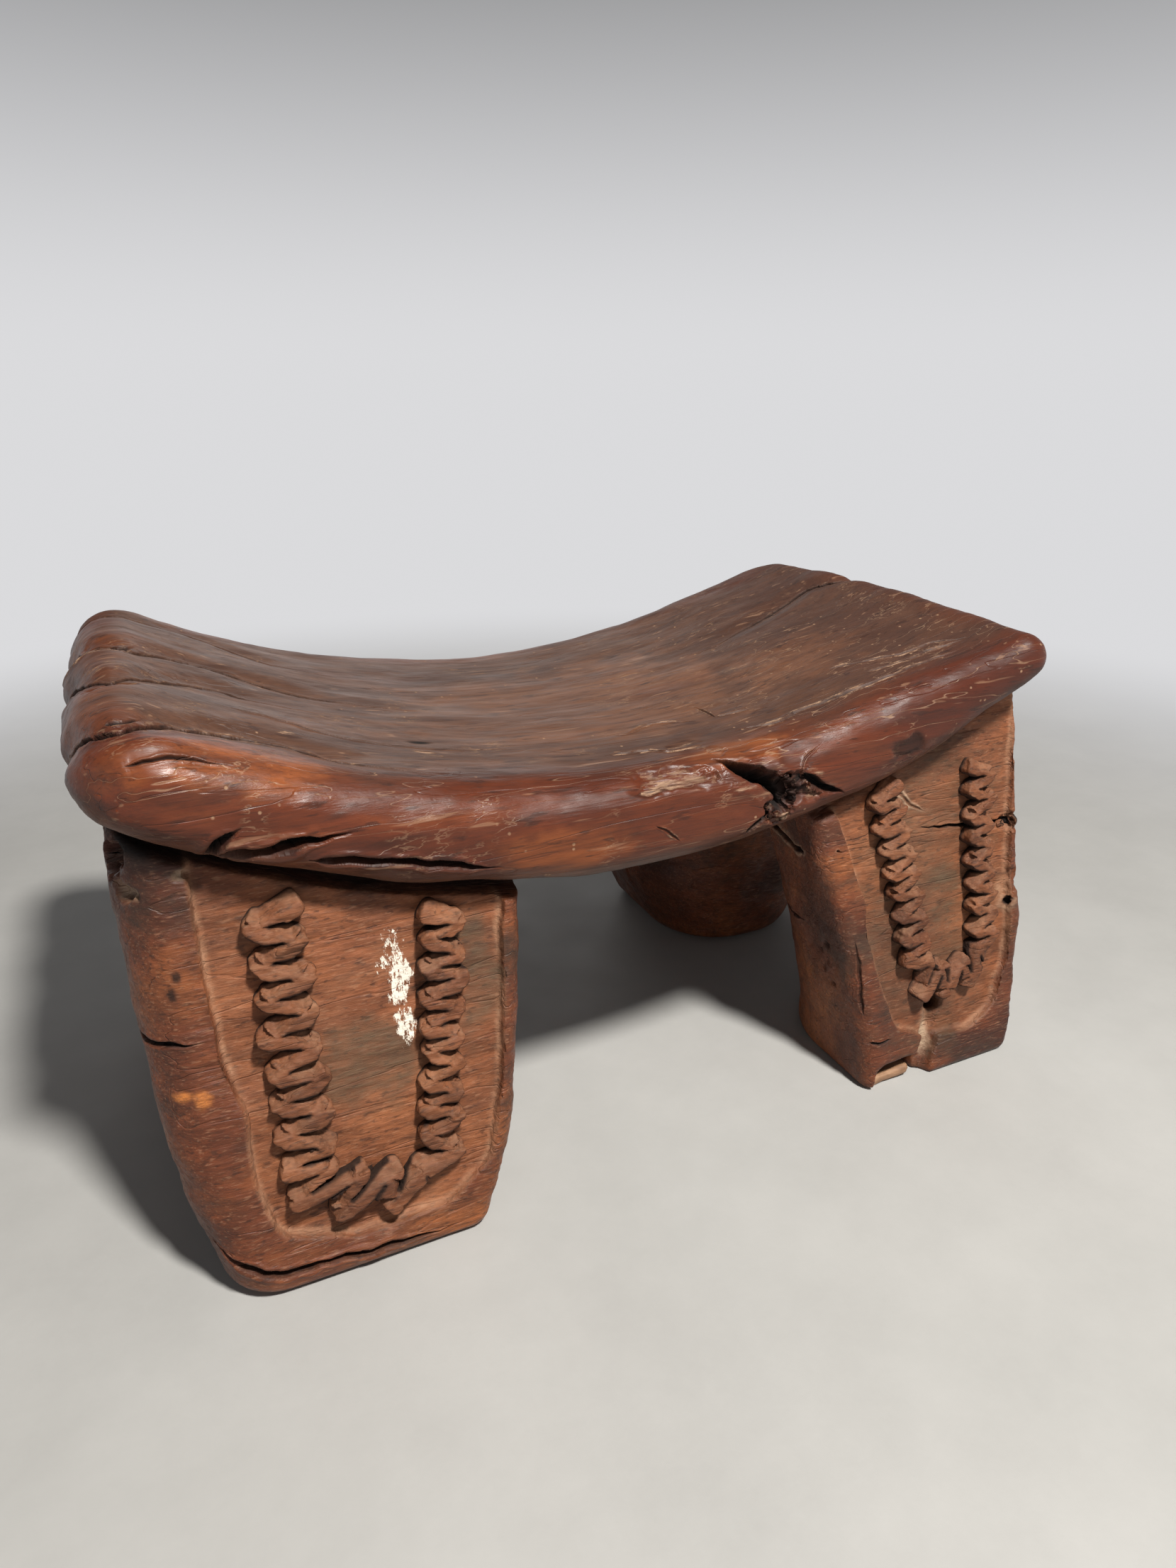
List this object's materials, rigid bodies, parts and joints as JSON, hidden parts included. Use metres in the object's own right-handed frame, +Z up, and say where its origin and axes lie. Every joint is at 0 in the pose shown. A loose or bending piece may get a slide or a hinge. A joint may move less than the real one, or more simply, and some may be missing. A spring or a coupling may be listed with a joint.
{
  "type": "headrest",
  "caption": "Low carved wooden headrest: a dished saddle seat on stout splayed legs whose outer faces carry sunk panels with a raised zigzag band.",
  "frame": {"origin": "on the ground, under the middle of the bounding box", "axes": "+X along the length of the seat, -Y out of the front, +Z up"},
  "size_m": [0.405, 0.244, 0.2191],
  "materials": {
    "polished_wood": "handled, waxed hardwood, dark red brown and glossy on its edges",
    "carved_wood": "dry, dusty carved hardwood, red brown",
    "pale_wood": "raw pale softwood"
  },
  "bodies": {
    "root": {"seat": "polished_wood", "front_left_leg": "carved_wood", "front_right_leg": "carved_wood", "back_left_leg": "carved_wood", "back_right_leg": "carved_wood", "front_left_band": "carved_wood", "front_right_band": "carved_wood", "back_left_band": "carved_wood", "back_right_band": "carved_wood", "foot_slip": "pale_wood"}
  },
  "joints": []
}
